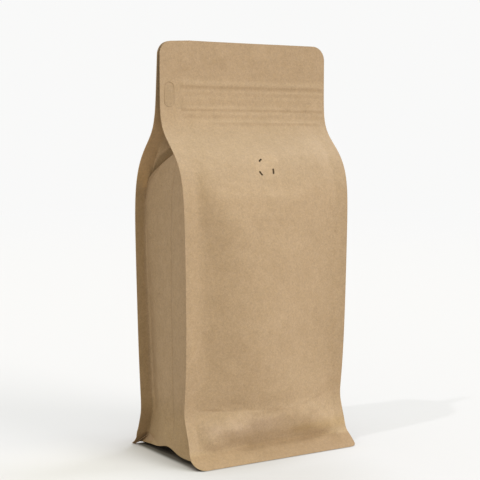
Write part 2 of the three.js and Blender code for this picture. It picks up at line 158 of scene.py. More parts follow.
F_WIDE, F_MID, F_FINE = Field(11, 46), Field(12, 17, stretch=1.15), Field(13, 6.5)
B_WIDE, B_MID = Field(21, 50), Field(22, 18)
G_WIDE, G_MID = Field(31, 40, stretch=1.3), Field(32, 14, stretch=1.3)


def seg_dist(x, z, a, b, sz=1.0):
    """Distance to the segment a-b and the place along it, with heights stretched by sz."""
    ax, az, bx, bz = a[0], a[1] * sz, b[0], b[1] * sz
    px, pz = x - ax, z * sz - az
    dx, dz = bx - ax, bz - az
    t = np.clip((px * dx + pz * dz) / (dx * dx + dz * dz), 0, 1)
    return np.hypot(px - t * dx, pz - t * dz), t


# ---- how far the panels stand out past their fins --------------------------------------
# The belly between the fold and the seal band, past the fins: one row per place across, at these heights.
BELLY_Z = [0.0, 8.6, 10.0, 13.0, 18.0, 23.0, 28.0, 33.0]
BELLY_X = [-59.5, -50, -36, -14, 12, 32, 48, 59.5]
BELLY = [
    [0, 0, 0, 0, 0, 0, 0, 0],
    [0, -0.43, 0.75, 2.94, 4.6, 4.74, 2.14, 1.01],
    [0, -1.01, -0.06, 1.84, 5.22, 7.94, 7.32, 4.08],
    [0, -5.72, -3.55, -1.28, 2.25, 5.49, 8.06, 8.79],
    [0, -5.45, -3.24, -1.22, 2.41, 5.15, 7.66, 9.2],
    [0, -6.94, -4.62, -2.22, 1.83, 4.89, 6.07, 5.9],
    [0, -5.13, -3.31, -0.96, 0.61, 0.8, 1.35, 1.38],
    [0, 0, 0, 0, 0, 0, 0, 0],
]
# The filled panel above the fold, past its even swell: the same places across, at these heights.
LOW_Z = [33, 36, 42, 50, 62, 79, 104, 130, 155, 174, 188, 201, 214, 229]
LOW = [
    [0, 0, 0, 0, 0, 0, 0, 0, 0, 0, 0, 0, 0, 0],
    [0.52, 0.31, 0.23, -0.42, -1.23, -1.62, -1.08, -1.1, -0.12, 0.93, 2.08, 1.25, 0.21, 0],
    [0.06, 0.14, 0.5, 0.25, -0.1, -1.45, -0.6, -0.01, 0.25, 0.87, 2.2, 2.18, 1.16, 0],
    [1.94, 2.54, 2.82, 2.37, 1.85, 0.92, -0.57, -0.9, -0.88, 0.94, 2.73, 2.55, 2.01, 0],
    [4.37, 4.41, 4.37, 3.22, 0.6, -0.97, -1.67, -1.41, -1.19, 0.65, 2.5, 2.33, 2.54, 0],
    [3.72, 3.05, 2.23, 1.05, -1.15, -2.95, -2.37, -1.88, -1.22, -0.18, 1.35, 1.92, 2.76, 0],
    [0.79, 0.97, 0.79, 0.09, -1.43, -2.39, -1.9, -1.52, -1.12, -0.67, 0.28, 0.96, 2.21, 0],
    [0, 0, 0, 0, 0, 0, 0, 0, 0, 0, 0, 0, 0, 0],
]


def smooth_interp(v, at, values):
    """Cubic through the values with gentle slopes, along the first axis of values."""
    at, values = np.asarray(at, float), np.asarray(values, float)
    d = np.diff(values, axis=0) / np.diff(at)[(...,) + (None,) * (values.ndim - 1)]
    m = np.zeros_like(values)
    m[1:-1] = np.where(d[1:] * d[:-1] > 0, 2 * d[1:] * d[:-1] / np.where(d[1:] + d[:-1] == 0, 1, d[1:] + d[:-1]), 0)
    m[0], m[-1] = d[0], d[-1]
    v = np.clip(v, at[0], at[-1])
    i = np.clip(np.searchsorted(at, v) - 1, 0, len(at) - 2)
    h = at[i + 1] - at[i]
    t = (v - at[i]) / h
    return i, h, t, m


def hermite(v, at, values):
    i, h, t, m = smooth_interp(v, at, values)
    a, b = np.asarray(values, float)[i], np.asarray(values, float)[i + 1]
    t2, t3 = t * t, t ** 3
    return (2 * t3 - 3 * t2 + 1) * a + (t3 - 2 * t2 + t) * h * m[i] + (3 * t2 - 2 * t3) * b + (t3 - t2) * h * m[i + 1]


def belly_at(x, z):
    x, z = np.broadcast_arrays(x, z)
    flat_z = np.clip(z, 0, CREASE_Z).ravel()
    per = 0
    for dz, share in ((-1.3, 0.25), (0, 0.5), (1.3, 0.25)):          # softens the valley along the seal
        zz = flat_z + dz * ease(0, 3, flat_z) * ease(33, 29, flat_z)
        per = per + share * np.stack([np.where(zz < 8.6, row[1] * zz / 8.6, hermite(zz, BELLY_Z[1:], row[1:])) for row in BELLY])
    return across(x, per)


def low_at(x, z):
    x, z = np.broadcast_arrays(x, z)
    flat_z = np.clip(z, LOW_Z[0], LOW_Z[-1]).ravel()
    return across(x, np.stack([hermite(flat_z, LOW_Z, row) for row in LOW]))


def across(x, per):
    """Cubic from column to column of the table."""
    xs = np.clip(x, BELLY_X[0], BELLY_X[-1]).ravel()
    at = np.asarray(BELLY_X, float)
    d = np.diff(per, axis=0) / np.diff(at)[:, None]
    m = np.zeros_like(per)
    m[1:-1] = np.where(d[1:] * d[:-1] > 0, 2 * d[1:] * d[:-1] / np.where(d[1:] + d[:-1] == 0, 1, d[1:] + d[:-1]), 0)
    m[0], m[-1] = d[0], d[-1]
    i = np.clip(np.searchsorted(at, xs) - 1, 0, len(at) - 2)
    h = at[i + 1] - at[i]
    t = (xs - at[i]) / h
    n = np.arange(len(xs))
    t2, t3 = t * t, t ** 3
    out = ((2 * t3 - 3 * t2 + 1) * per[i, n] + (t3 - 2 * t2 + t) * h * m[i, n]
           + (3 * t2 - 2 * t3) * per[i + 1, n] + (t3 - t2) * h * m[i + 1, n])
    return out.reshape(x.shape)


def swell(x, z, amount, back=False):
    ax = np.abs(x) / WALL_X
    pinch = PINCH * ease(238, 252, z) * (1 - np.minimum(ax, 1) ** 2)
    grown = ease(BULGE_TOP, BULGE_FULL, z)
    low = mix(0.62, 1, ease(34, 92, z))
    if back:
        w = SLOPE_BACK * mix(0.25, 1, ease(200, 150, z))
        out = amount * grown * low * ease(0, 1, (x + 57) / w) * ease(0, 1, (57 - x) / w)
        t = np.clip((z - SEAL_Z) / (CREASE_Z - SEAL_Z), 0, 1)
        belly = 0.64 * (6.2 * t ** 0.6 + 4.6 * np.sin(math.pi * t ** 0.8)) * np.clip(1 - (x / 59) ** 2, 0, 1) ** 0.75
    else:
        wl = SLOPE_LEFT * mix(0.14, 1, np.clip((201 - z) / 51, 0, 1))
        wr = SLOPE_RIGHT * mix(0.45, 1, ease(205, 150, z))
        left = 1 - np.exp(-(np.maximum(x + 57, 0) / wl) ** 1.6)
        right = 1 - np.exp(-(np.maximum(58.5 - x, 0) / wr) ** 1.5)
        out = amount * grown * low * left * right + low_at(x, z)
        belly = belly_at(x, z)
    under = mix(belly, out, ease(CREASE_Z - 0.5, CREASE_Z + 2, z))
    out = np.where(z < CREASE_Z + 2, under, out)
    return out - pinch


def fold_lift(x, z):
    hat = ease(10, 33, z) * ease(62, 36, z)
    return CREASE_RISE * hat * np.minimum(np.abs(x) / 66, 1.05) ** 1.4


# Closing strip: the slope of its cross-section, added up to a profile. Up is +z.
ZIP_SLOPES = [(267.0, 0.17, 1.3), (263.5, -0.33, 0.9), (260.8, 0.13, 1.0), (258.3, -0.05, 1.0),
              (256.2, 0.08, 1.3), (251.5, -0.05, 1.5), (249.5, 0.14, 1.0), (247.2, -0.30, 0.75),
              (245.0, 0.12, 1.2), (242.8, -0.06, 1.5), (239.7, 0.13, 1.3)]
ZIP_LOW = [(239.3, 0.08, 0.9), (237.5, -0.42, 0.8), (235.6, 0.10, 1.4)]
ZIP_FLAT = [(243.0, -0.17, 3.0), (239.3, 0.07, 0.9)]
ZIP_RIGHT = [(260.6, 0.07, 0.9), (255.6, 0.06, 1.2), (252.0, 0.11, 1.1)]
_zz = np.linspace(228, 275, 1881)


def _profile(slopes):
    s = sum(a * bell(_zz, c, w) for c, a, w in slopes)
    p = -np.cumsum(s) * (_zz[1] - _zz[0])
    t = (_zz - _zz[0]) / (_zz[-1] - _zz[0])
    return p - (p[0] + (p[-1] - p[0]) * t)


_zip, _zip_low, _zip_flat, _zip_right = (_profile(p) for p in (ZIP_SLOPES, ZIP_LOW, ZIP_FLAT, ZIP_RIGHT))


def zip_relief(x, z):
    ends = ease(-54.2, -52.8, x) * ease(69.6, 67.0, x)
    low = ease(-34, -22, x) * ease(65, 61, x)
    return (ends * np.interp(z, _zz, _zip, 0, 0) + low * np.interp(z, _zz, _zip_low, 0, 0)
            + ends * mix(1, 0.35, ease(-5, 30, x)) * np.interp(z, _zz, _zip_flat, 0, 0)
            + ends * ease(-5, 30, x) * np.interp(z, _zz, _zip_right, 0, 0))


# Soft upright waves of the top band: centre x, height z, half width, half height, depth.
TOP_WAVES = [(-51.5, 283, 4.5, 8, 0.42), (-20.0, 285.5, 6.0, 7, 0.40), (-37.0, 281, 6.5, 8, -0.16),
             (-3.0, 280, 5.5, 8, -0.22), (10.0, 283, 7.0, 7, 0.24), (33.0, 282, 9.0, 8, -0.16), (50.0, 284, 8.0, 8, 0.14),
             (-18.8, 274.6, 2.2, 3, -0.20)]


def front_detail(x, z):
    out = 0 * x
    for cx, cz, w, h, d in TOP_WAVES:
        out = out + 1.5 * d * bell(x, cx, w) * bell(z, cz, h)
    # the valve's disc behind the paper, and its edge
    r = np.hypot(x - VALVE[0], (z - VALVE[1]) * 1.2)
    out = out + 0.15 * ease(10.3, 8.5, r) + 0.05 * bell(r, 9.3, 0.6)
    # folds at the foot
    d, t = seg_dist(x, z, (33.0, 34.8), (55.0, 16.6))
    out = out + 0.5 * np.exp(-((d / 2.6) ** 2)) * np.sin(math.pi * np.clip(t * 0.94 + 0.03, 0, 1)) ** 0.5
    d, t = seg_dist(x, z, (-59.5, 30.0), (-58.0, 12.0))
    out = out + 0.18 * np.exp(-((d / 1.6) ** 2))
    # broad and small unevenness of the filled paper
    body = ease(252, 205, z) * ease(3, 14, z)
    inner = 1 - 0.75 * ease(52, 60, np.abs(x))
    out = out + body * inner * (0.12 * F_WIDE(x, z) + 0.06 * F_MID(x, z))
    out = out + 0.012 * F_FINE(x, z) * ease(1, 6, z)
    out = out + 0.05 * F_MID(x, z) * ease(240, 262, z)
    return out


def back_detail(x, z):
    out = 0.7 * (zip_relief(-x, z) * 0.8)
    body = ease(252, 205, z) * ease(3, 14, z)
    inner = 1 - 0.75 * ease(52, 60, np.abs(x))
    out = out + body * inner * (0.40 * B_WIDE(x, z) + 0.09 * B_MID(x, z)) + 0.012 * F_FINE(x + 500, z)
    return out + 0.06 * B_MID(x, z) * ease(240, 262, z)


def tab_sdf(x, z, grow=0.0):
    h = TAB["h"] / 2 - TAB["w"] / 2
    dz = np.abs(z - TAB["z"]) - h
    return np.hypot(x - TAB["x"], np.maximum(dz, 0)) - TAB["w"] / 2 - grow


def slit_sdf(x, z):
    out = np.full(np.broadcast(x, z).shape, 1e9)
    for a, b in SLITS:
        out = np.minimum(out, seg_dist(x, z, a, b, 1.2)[0] - SLIT_HALF)
    return out


def cut_detail(x, z):
    """Only on the finely divided patches: the seat of the tab and the slits."""
    out = -0.36 * ease(0.14, -0.14, tab_sdf(x, z, TAB["gap"]))
    s = slit_sdf(x, z)
    out = out - SLIT_DEEP * ease(0.10, -0.26, s)
    return out + 0.06 * bell(s, 0.35, 0.4)


def flat_x(u, z, side, back):
    """x of the flat coordinate u, which runs past WALL_X on to the fin."""
    k = np.clip((np.abs(u) - WALL_X) / FIN_SPAN, 0, 1)
    return np.where(np.abs(u) <= WALL_X, u, np.sign(u) * mix(WALL_X, edge_of(z, side, back), k))


def front_point(u, z, fine=False):
    u, z = np.broadcast_arrays(np.asarray(u, float), np.asarray(z, float))
    x = np.where(u < 0, flat_x(u, z, -1, 0), flat_x(u, z, 1, 0))
    zz = z + fold_lift(x, z)
    on = ease(WALL_X + 0.5, WALL_X - 1.5, np.abs(x))
    out = front_out(zz) + np.where(np.abs(x) < WALL_X, swell(x, z, BULGE), 0) - flipped(u, z)
    edge = ease(rim_safe(z), rim_safe(z) - 3.0, np.abs(x))
    out = out + front_detail(x, zz) * mix(0.35, 1, on) * edge + zip_relief(x, z)
    if fine:
        out = out + cut_detail(x, zz)
    return np.stack([x, -out, zz], -1)


def flipped(u, z):
    """How far behind its rim the fin's face lies, and the panel beside it."""
    k = 1 - np.clip((np.abs(u) - WALL_X) / FIN_SPAN, 0, 1)
    beside = np.clip((np.abs(u) - 45) / (WALL_X - 45), 0, 1)
    return FLIP * k * np.where(np.abs(u) < WALL_X, ease(0, 1, beside), 1) * ease(252, 200, z) * ease(4, 14, z)


def rim_safe(z):
    return np.maximum(rim(z, 3.5), 40.0) + 0.4


def back_point(u, z):
    u, z = np.broadcast_arrays(np.asarray(u, float), np.asarray(z, float))
    x = np.where(u < 0, flat_x(u, z, -1, 1), flat_x(u, z, 1, 1))
    zz = z + fold_lift(x, z)
    on = ease(WALL_X + 0.5, WALL_X - 1.5, np.abs(x))
    out = back_out(zz) + np.where(np.abs(x) < WALL_X, swell(x, z, BULGE_BACK, True), 0) - flipped(u, z)
    edge = ease(rim_safe(z), rim_safe(z) - 3.0, np.abs(x))
    out = out + back_detail(x, zz) * mix(0.35, 1, on) * edge
    tip = left_tip(z, (-u - WALL_X) / FIN_SPAN)
    return np.stack([x + tip[..., 0], out + tip[..., 1], zz + tip[..., 2]], -1)


# ---- gusset -----------------------------------------------------------------------------
# The middle fold wanders a little from foot to arch, and leans to the front at the top.
FOLD_Z = [0, 14, 22, 31, 42, 56, 83, 112, 145, 175, 184, 194, 202, 210, 219]
FOLD_SHIFT = [-0.075, -0.066, -0.036, -0.020, -0.018, -0.001, 0.011, 0.019, 0.022, 0.021, 0.015, -0.012, -0.043, -0.10, -0.125]


# The back seal's root stands out more at the shoulder and is drawn in towards the foot.
ROOT_Z = [0, 6, 12, 20, 30, 54, 83, 112, 140, 162, 184, 200, 215]
ROOT_OUT = [0.0, 0.0, -0.5, -1.3, -2.1, -2.0, -1.3, -0.4, 1.0, 1.7, 2.5, 2.0, 0.0]


def place(q, z):
    """Where the column q of the gusset lies between its roots at height z."""
    return q + np.interp(z, FOLD_Z, FOLD_SHIFT) * 4 * q * (1 - q)


def arch_z(q):
    return ARCH_FOOT + (ARCH_TOP - ARCH_FOOT) * (np.minimum(q, 1 - q) / 0.5) ** ARCH_POWER


def arch_q(z):
    return 0.5 * np.clip((z - ARCH_FOOT) / (ARCH_TOP - ARCH_FOOT), 0, 1) ** (1 / ARCH_POWER)


def foot_edge_z(y):
    arch = 3.0 + 4.2 * np.exp(-(((y - 6) / 13) ** 2))
    return mix(mix(arch, 6.4, ease(-22, -38, y)), 2.2, ease(28, 42, y))


def fillet_at(z):
    return FILLET * ease(195, 110, z) * ease(2, 40, z)


def gusset_point(q, z, side):
    q, z = np.broadcast_arrays(np.asarray(q, float), np.asarray(z, float))
    ZB = 42.0
    foot = foot_edge_z(mix(-39, 42, q))
    zz = np.where(z < ZB, foot + z * (ZB - foot) / ZB, z)
    body = np.minimum(zz, ARCH_FOOT)
    f = mix(1.0, FIN, ease(252, 200, zz) * ease(4, 14, zz))
    y0, y1 = -front_out(zz) + f, back_out(zz) - f
    w0, w1 = -front_out(body) + FIN, back_out(body) - FIN

    def wall_x(k):
        r = fillet_at(zz)
        e = np.minimum(k, 1 - k) * (w1 - w0)
        beside = np.maximum(ease(0.62, 0.96, k), ease(0.38, 0.04, k))
        turn = np.where(e < r, r - np.sqrt(np.maximum(0, r * r - (r - np.minimum(e, r)) ** 2)), 0)
        fold = CREASE_IN * np.exp(-np.abs(k - 0.5) * 5) * ease(4, 16, zz)
        skirt = mix(SKIRT_OUT * ease(31, 3, zz), 3.9 * ease(6.4, 0.8, zz), beside)
        skirt = skirt + np.interp(zz, ROOT_Z, ROOT_OUT) * ease(0.78, 0.99, k)
        uneven = 0.16 * G_WIDE(k * 62 + side * 300, zz) + 0.05 * G_MID(k * 62 + side * 300, zz)
        uneven = uneven * ease(0.0, 0.12, np.minimum(k, 1 - k)) * ease(200, 180, zz)
        line = 0.24 * bell(k, 0.5, 0.0085) * ease(9, 20, zz) * ease(208, 196, zz)
        return WALL_X + turn - fold + skirt + uneven - line

    half = np.minimum(q, 1 - q)
    is_front = q <= 0.5
    root_y = np.where(is_front, y0, y1)
    root_x = wall_x(np.zeros_like(q))
    qa = arch_q(z)
    # below the arch: the flat wall
    wx = wall_x(q)
    ax, ay = wx, mix(w0, w1, place(q, zz))
    # above it: side pockets, the roof over the wall's top, then the deep fold
    low = z <= ARCH_TOP
    u = np.where(low, half / np.maximum(qa, 1e-6), half / 0.5)
    span = np.where(low, qa, 0.5)

    def pocket(ry, ridge, k):
        return np.sqrt(np.maximum(0, (k * GUSSET / 2) ** 2 - ((ridge - ry) / 2) ** 2))

    kk = np.where(is_front, span, 1 - span)
    e = ease(ARCH_TOP, ARCH_TOP + ROOF, z)
    full = np.sqrt(np.maximum(0, (GUSSET / 2) ** 2 - ((y1 - y0) / 2) ** 2))
    end_x = np.where(low, wall_x(kk), wall_x(np.full_like(q, 0.5)) - e * (full - CREASE_IN))
    end_y = np.where(low, mix(w0, w1, place(kk, zz)), mix(mix(w0, w1, place(0.5, zz)), (y0 + y1) / 2, e))
    deep = np.where(low, pocket(root_y, end_y, span), (1 - e) * pocket(root_y, end_y, 0.5))
    bx = mix(root_x, end_x, u) - deep * POCKET * np.sin(math.pi * np.clip(u, 0, 1))
    by = mix(root_y, end_y, u)
    wall = (z <= ARCH_FOOT) | (low & (half >= qa - 1e-9))
    x, y = np.where(wall, ax, bx), np.where(wall, ay, by)
    y = np.where(z <= ARCH_FOOT, mix(y0, y1, place(q, zz)), y)
    return np.stack([x, y, zz], -1)


ARCH_ROW0, ARCH_ROWM, ARCH_ROW1 = 164.0, 200.0, 238.0


def warp_z(q, t, amount=1.0):
    """Rows near the arch are moved so that one row follows the fold."""
    a = arch_z(q)
    w = np.where(t < ARCH_ROWM,
                 ARCH_ROW0 + (t - ARCH_ROW0) / (ARCH_ROWM - ARCH_ROW0) * (a - ARCH_ROW0),
                 a + (t - ARCH_ROWM) / (ARCH_ROW1 - ARCH_ROWM) * (ARCH_ROW1 - a))
    w = np.where((t > ARCH_ROW0) & (t < ARCH_ROW1), w, t)
    return mix(t, w, amount)


# =====================================================================================
# Ring of columns, anticlockwise seen from above, starting at the left edge of the front.
# =====================================================================================
def spaced(pairs, start, stop):
    """Values from start to stop with the step given by (up to, step) pairs."""
    out = [start]
    for upto, step in pairs:
        n = max(1, round((upto - out[-1]) / step))
        out += list(np.linspace(out[-1], upto, n + 1)[1:])
    return np.array(out)


U_FIN = WALL_X + FIN_SPAN
front_u = spaced([(-59.5, 1.1), (-55, 0.9), (-24, 1.15), (52, 1.55), (59.5, 1.1), (U_FIN, 1.25)], -U_FIN, U_FIN)
back_u = -spaced([(-59.5, 1.4), (-51, 1.2), (51, 2.1), (59.5, 1.2), (U_FIN, 1.4)], -U_FIN, U_FIN)
wall_q = (1 - np.cos(np.pi * np.linspace(0, 1, 37))) / 2
wall_q = np.sort(np.unique(np.round(np.concatenate([wall_q, [0.482, 0.4885, 0.4945, 0.5055, 0.5115, 0.518]]), 6)))

rows = np.concatenate([
    [0, 0.3, 0.7, 1.3, 2.0, 2.9, 3.9, 4.9, 5.9, 6.8, 7.6, 8.2, 8.6, 9.1],
    spaced([(30, 0.8), (31.5, 0.6), (35.5, 0.4), (60, 1.25), (164, 2.1), (190, 1.15), (200, 0.9), (238, 1.1),
            (270, 0.5), (286.4, 1.2)], 9.8, 286.4),
    HEIGHT - CORNER_TOP * (1 - np.sin(np.linspace(0, math.pi / 2, 11)[1:])),
])
NR = len(rows)

cols = []          # (kind, value, points NR x 3)


def add(kind, value, pts):
    cols.append((kind, float(value), pts))


def inner_rim(z, side, back):
    out = back_out(z) - SHEET if back else -(front_out(z) - SHEET)
    x = edge_of(z, side, back)
    lift = fold_lift(x, z)
    y = back_out(z + lift) - SHEET if back else -(front_out(z + lift) - SHEET)
    return np.stack([side * x, y, z + lift], -1)


def fin_inner(side, back):
    """Columns from the inner rim to the gusset's root."""
    q = 1.0 if back else 0.0
    out = []
    for k in (0.0, 0.25, 0.5, 0.75):
        a = inner_rim(rows, side, back)
        b = gusset_point(np.full(NR, q), warp_z(np.full(NR, q), rows, 1.0), side)
        b = b * np.array([side, 1, 1])
        if side < 0 and back:
            a = a + left_tip(rows, 1.0)
            b = b + left_tip(rows, 1 - k) * np.array([0, 0, 1]) * 0
        # rows keep to their own heights at the rim and take the gusset's near the root
        out.append(("inner", k, a * (1 - k) + b * k))
    return out


for u in front_u:
    add("front", u, front_point(np.full(NR, u), rows))
n_front = len(front_u)
for kind, v, p in fin_inner(1, 0):
    add(kind, v, p)
for q in wall_q:
    p = gusset_point(np.full(NR, q), warp_z(np.full(NR, q), rows), 1)
    add("wall", q, p * np.array([1, 1, 1]))
for kind, v, p in reversed(fin_inner(1, 1)):
    add(kind, v, p)
for u in back_u:
    add("back", u, back_point(np.full(NR, u), rows))
for kind, v, p in fin_inner(-1, 1):
    add(kind, v, p)
for q in wall_q[::-1]:
    p = gusset_point(np.full(NR, q), warp_z(np.full(NR, q), rows), -1)
    add("wall", q, p * np.array([-1, 1, 1]))
for kind, v, p in reversed(fin_inner(-1, 0)):
    add(kind, v, p)
NC = len(cols)
grid = np.stack([p for _, _, p in cols], 1)          # NR x NC x 3
kinds = [c[0] for c in cols]
vals = np.array([c[1] for c in cols])

grid[..., 2] -= corner_drop(grid[..., 0], grid[..., 2])
verts = list(grid.reshape(-1, 3))
polys = []


def gid(r, c):
    return r * NC + (c % NC)


# ---- finely divided patches on the front -------------------------------------------------
K = 4
blocks = []


def block(u0, u1, z0, z1):
    c0, c1 = int(np.searchsorted(front_u, u0)) - 1, int(np.searchsorted(front_u, u1))
    r0, r1 = int(np.searchsorted(rows, z0)) - 1, int(np.searchsorted(rows, z1))
    blocks.append((r0, r1, c0, c1))


block(-10.2, 8.6, 198.2, 214.6)
block(-68.6, -58.0, 246.6, 268.4)
extra = {}          # coarse edge -> vertices along it
inside = set()
for r0, r1, c0, c1 in blocks:
    nr, nc = (r1 - r0) * K, (c1 - c0) * K
    fr = np.interp(np.arange(nr + 1) / K, np.arange(r1 - r0 + 1), rows[r0:r1 + 1])
    fu = np.interp(np.arange(nc + 1) / K, np.arange(c1 - c0 + 1), front_u[c0:c1 + 1])
    pts = front_point(fu[None, :], fr[:, None], fine=True)
    pts[..., 2] -= corner_drop(pts[..., 0], pts[..., 2])
    ids = np.zeros((nr + 1, nc + 1), int)
    for i in range(nr + 1):
        for j in range(nc + 1):
            rim_cell = i in (0, nr) or j in (0, nc)
            if i % K == 0 and j % K == 0:
                ids[i, j] = gid(r0 + i // K, c0 + j // K)
                if not rim_cell:
                    verts[ids[i, j]] = pts[i, j]
                continue
            if rim_cell:
                if i in (0, nr):
                    r, c, f = r0 + i // K, c0 + j // K, (j % K) / K
                    a, b = gid(r, c), gid(r, c + 1)
                else:
                    r, c, f = r0 + i // K, c0 + j // K, (i % K) / K
                    a, b = gid(r, c), gid(r + 1, c)
                p = verts[a] * (1 - f) + verts[b] * f
            else:
                p = pts[i, j]
            ids[i, j] = len(verts)
            verts.append(p)
            if rim_cell:
                extra.setdefault((a, b), []).append(ids[i, j])
    for i in range(nr):
        for j in range(nc):
            polys.append((ids[i, j], ids[i, j + 1], ids[i + 1, j + 1], ids[i + 1, j]))
    for r in range(r0, r1):
        for c in range(c0, c1):
            inside.add((r, c))


def edge_points(a, b):
    if (a, b) in extra:
        return extra[(a, b)]
    if (b, a) in extra:
        return extra[(b, a)][::-1]
    return []


for r in range(NR - 1):
    for c in range(NC):
        if (r, c) in inside:
            continue
        a, b, d, e = gid(r, c), gid(r, c + 1), gid(r + 1, c + 1), gid(r + 1, c)
        poly = [a, *edge_points(a, b), b, *edge_points(b, d), d, *edge_points(d, e), e, *edge_points(e, a)]
        polys.append(tuple(poly))

# ---- underside ------------------------------------------------------------------------------
row0 = grid[0]
edge_row, base_xy = [], []
for (kind, v, p), (x, y, z) in zip(cols, row0):
    s = 1 if x > 0 else -1
    if kind in ("front", "back"):
        sy = -1 if kind == "front" else 1
        ex = x - s * 0.35 if abs(v) > WALL_X else x
        edge_row.append((ex, sy * (DEPTH_FOOT / 2 - 0.75), z))
        base_xy.append((np.clip(x, -BASE_X + 0.6, BASE_X - 0.6) if abs(v) <= WALL_X else s * mix(BASE_X - 0.6, BASE_X - 0.25, (abs(v) - WALL_X) / FIN_SPAN),
                        sy * (BASE_Y if abs(v) <= WALL_X else mix(BASE_Y, BASE_Y - 0.5, (abs(v) - WALL_X) / FIN_SPAN))))
    elif kind == "inner":
        sy = 1 if y > 0 else -1
        edge_row.append((x - s * 0.5, y - sy * 0.3, z + 0.25))
        base_xy.append((s * mix(BASE_X - 0.25, BASE_X - 0.05, v), sy * mix(BASE_Y - 0.5, BASE_Y - 1.5, v)))
    else:
        edge_row.append((x - s * 0.7, y, z + 0.05))
        base_xy.append((s * BASE_X, mix(-(BASE_Y - 1.8), BASE_Y - 1.8, v)))


def behind(c, z, y, gap):
    """y drawn in where it must be, to stay behind the skin of column c at height z."""
    skin = float(np.interp(z, grid[:, c, 2], np.abs(grid[:, c, 1])))
    return math.copysign(min(abs(y), skin - gap), y)


def base_z(x, y):
    sag = BASE_SAG_Z + 0.25 * math.sin(x * 0.11 + 1.0) * math.cos(y * 0.13)
    fx = min(abs(x) / BASE_X, 1) ** 8
    return sag + (SEAL_Z - 0.4 - BASE_SAG_Z) * min(abs(y) / BASE_Y, 1) ** 3 * (1 - fx) + (BASE_SIDE_Z - BASE_SAG_Z) * fx


def add_ring(ring):
    start = len(verts)
    verts.extend(np.array(p, float) for p in ring)
    return start


def stitch(low, high):
    for i in range(NC):
        j = (i + 1) % NC
        polys.append((low + i, low + j, high + j, high + i))


base_xyz = []
for c, (x, y) in enumerate(base_xy):
    z = base_z(x, y)
    base_xyz.append((x, y if kinds[c] == "wall" else behind(c, z, y, 1.0 if kinds[c] != "inner" else 0.6), z))
mid_xyz = []
for c, ((ex, ey, ez), (x, y, z)) in enumerate(zip(edge_row, base_xyz)):
    hz = (ez + z) / 2
    hy = (ey + y) / 2
    mid_xyz.append(((ex + x) / 2, hy if kinds[c] == "wall" else behind(c, hz, hy, 0.9 if kinds[c] != "inner" else 0.4), hz))

prev = None
middle = len(verts)
verts.append(np.array([0, 0, base_z(0, 0)]))
for k in (0.12, 0.28, 0.45, 0.6, 0.73, 0.84, 0.92, 0.97, 1.0):
    start = add_ring([(x * k, y * k, mix(base_z(bx * k, by * k), z, ease(0.9, 1, k)))
                      for (x, y, z), (bx, by) in zip(base_xyz, base_xy)])
    if prev is None:
        for i in range(NC):
            polys.append((middle, start + (i + 1) % NC, start + i))
    else:
        stitch(prev, start)
    prev = start
half_ring = add_ring(mid_xyz)
stitch(prev, half_ring)
start = add_ring(edge_row)
stitch(half_ring, start)
stitch(start, 0)

# ---- top edge: two layers with a line between them -----------------------------------------------
top = grid[-1]
tri_rim = [Vector((float(top[i][0]), float(top[i][1]), 0)) for i in range(NC)]
for t in tessellate_polygon([tri_rim]):
    a, b, c = (gid(NR - 1, i) for i in t)
    pa, pb, pc = verts[a], verts[b], verts[c]
    if (pb[0] - pa[0]) * (pc[1] - pa[1]) - (pb[1] - pa[1]) * (pc[0] - pa[0]) < 0:
        a, c = c, a
    polys.append((a, b, c))

P = np.array(verts) / 1000.0
me = bpy.data.meshes.new("pouch_skin")
me.from_pydata(P.tolist(), [], [tuple(map(int, f)) for f in polys])
me.validate()
me.update()

# ---- attributes that the paper reads: painted shade in the slits, round the tab, on the seals and folds; painted highlight and painted light on folds; painted light and shade over the front ---
co = np.zeros(len(me.vertices) * 3)
me.vertices.foreach_get("co", co)
co = co.reshape(-1, 3) * 1000
X, Y, Z = co.T
is_front = Y < -front_out(Z) + 0.3
# painted shade in the valve's slits: near black where they are cut
slit_shade = np.where(is_front, ease(0.25, -0.2, slit_sdf(X, Z)), 0)
slit_shade = np.where((np.abs(X) < 12) & (Z > 195) & (Z < 217), slit_shade, 0)
# painted shade in the gap round the tab
seat = np.where(is_front & (X < -55) & (Z > 244) & (Z < 271), ease(0.25, -0.1, tab_sdf(X, Z, TAB["gap"])), 0)
# painted highlight along the front's fold, stronger towards the right
crease_highlight = np.where(Y < 0, bell(Z - fold_lift(X, Z - 3) - CREASE_Z, 0.2, 0.7) * ease(0, 40, X), 0)
# painted shade on the pressed seal band along the foot, under the overhanging belly, and a darker band along the top
# edge; the gusset's middle fold comes further down
seal = np.where((np.abs(Y) > 30) & (Z < 14), ease(9.6, 7.8, Z) * mix(0.8, 1.25, ease(-40, 50, X)), 0)
seal = np.maximum(seal, 0.24 * ease(267, 272, Z))
# the narrow fold above the gusset's arch: painted shade under the fold's lip, painted light over the fold, most along
# its back edge, and on the fins' inner faces; across it u runs from the seal's root to the arch
pocket, deep = np.zeros(len(Z)), np.zeros(len(Z))
root = np.where(Y > 0, back_out(Z) - FIN, FIN - front_out(Z))
side_q = np.where(Y > 0, 1 - arch_q(Z), arch_q(Z))
lip = mix(FIN - front_out(Z), back_out(Z) - FIN, place(side_q, Z))
along = np.clip((root - Y) / np.where(np.abs(root - lip) < 1, 1, root - lip), 0, 1.2)
lip_from = np.interp(Z, [198, 205, 208, 215, 220, 226], [-0.02, 0.02, 0.06, 0.10, 0.26, 0.5])
for c in range(NC):
    ids = [gid(r, c) for r in range(NR)]
    if kinds[c] == "wall":
        above = ease(200.2, 201.4, rows)
        past = along[ids] - lip_from[ids]
        pocket[ids] = above * (0.18 + 0.40 * ease(0.08, 0.0, along[ids]) + 0.22 * bell(past, -0.07, 0.03)) \
            * ease(262, 236, rows)
        deep[ids] = above * ease(-0.05, 0.06, past) * ease(229, 221, Z[ids])
    elif kinds[c] == "inner":
        pocket[ids] = 1.0 * ease(192, 204, rows) * ease(262, 232, rows)
